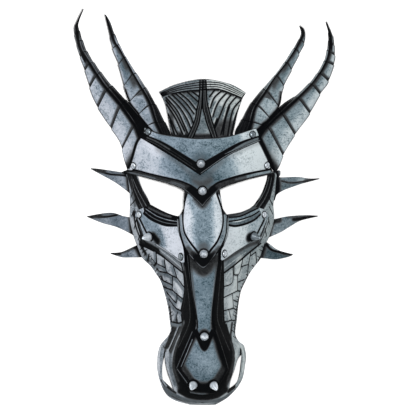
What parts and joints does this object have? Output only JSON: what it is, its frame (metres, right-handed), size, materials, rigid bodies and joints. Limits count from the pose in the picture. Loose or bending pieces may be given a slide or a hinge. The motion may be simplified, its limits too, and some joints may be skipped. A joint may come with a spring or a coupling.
{
  "type": "leather dragon mask",
  "caption": "Wet-formed leather dragon mask with a long snout, riveted face plates, banded horns, a fan crest and spiked side frills, lying on its back.",
  "frame": {"origin": "middle of the bounding box's underside, on the surface that the mask lies on", "axes": "+Z out of the face, +Y from the muzzle towards the horns, +X towards the side that is on the right in a front view"},
  "size_m": [0.287, 0.436, 0.0864],
  "materials": {
    "shell_leather": "silver-blue paint over black dye, rubbed back on the raised tooling",
    "plate_leather": "pale silver-blue paint with fine speckle, black dye in the borders",
    "crest_leather": "grey-olive paint rubbed over black dyed grooves",
    "horn_leather": "silver-blue paint, black dyed bands and inner facet",
    "frill_leather": "grey-blue paint fading to black at the roots",
    "rivet_metal": "silver-grey, slightly worn",
    "stud_metal": "silver-grey, slightly worn"
  },
  "bodies": {
    "root": {"mask_base": "shell_leather", "brow_plate_lower": "plate_leather", "brow_plate_upper": "plate_leather", "nose_bridge_plate": "plate_leather", "snout_plate": "plate_leather", "nose_tip_plate": "plate_leather", "cheek_plate_left": "plate_leather", "cheek_plate_right": "plate_leather", "crest_fan": "crest_leather", "horn_outer_left": "horn_leather", "horn_inner_left": "horn_leather", "horn_outer_right": "horn_leather", "horn_inner_right": "horn_leather", "side_frill_left": "frill_leather", "side_frill_right": "frill_leather", "rivet_brow_upper_left": "rivet_metal", "rivet_brow_upper_right": "rivet_metal", "rivet_brow_lower_left": "rivet_metal", "rivet_brow_lower_right": "rivet_metal", "rivet_cheek_outer_left": "rivet_metal", "rivet_cheek_outer_right": "rivet_metal", "rivet_cheek_inner_left": "rivet_metal", "rivet_cheek_inner_right": "rivet_metal", "stud_brow_upper": "stud_metal", "stud_brow_lower": "stud_metal", "stud_nose_bridge": "stud_metal", "stud_snout": "stud_metal", "stud_nose_left": "stud_metal", "stud_nose_right": "stud_metal", "stud_cheek_left": "stud_metal", "stud_cheek_right": "stud_metal"}
  },
  "joints": []
}
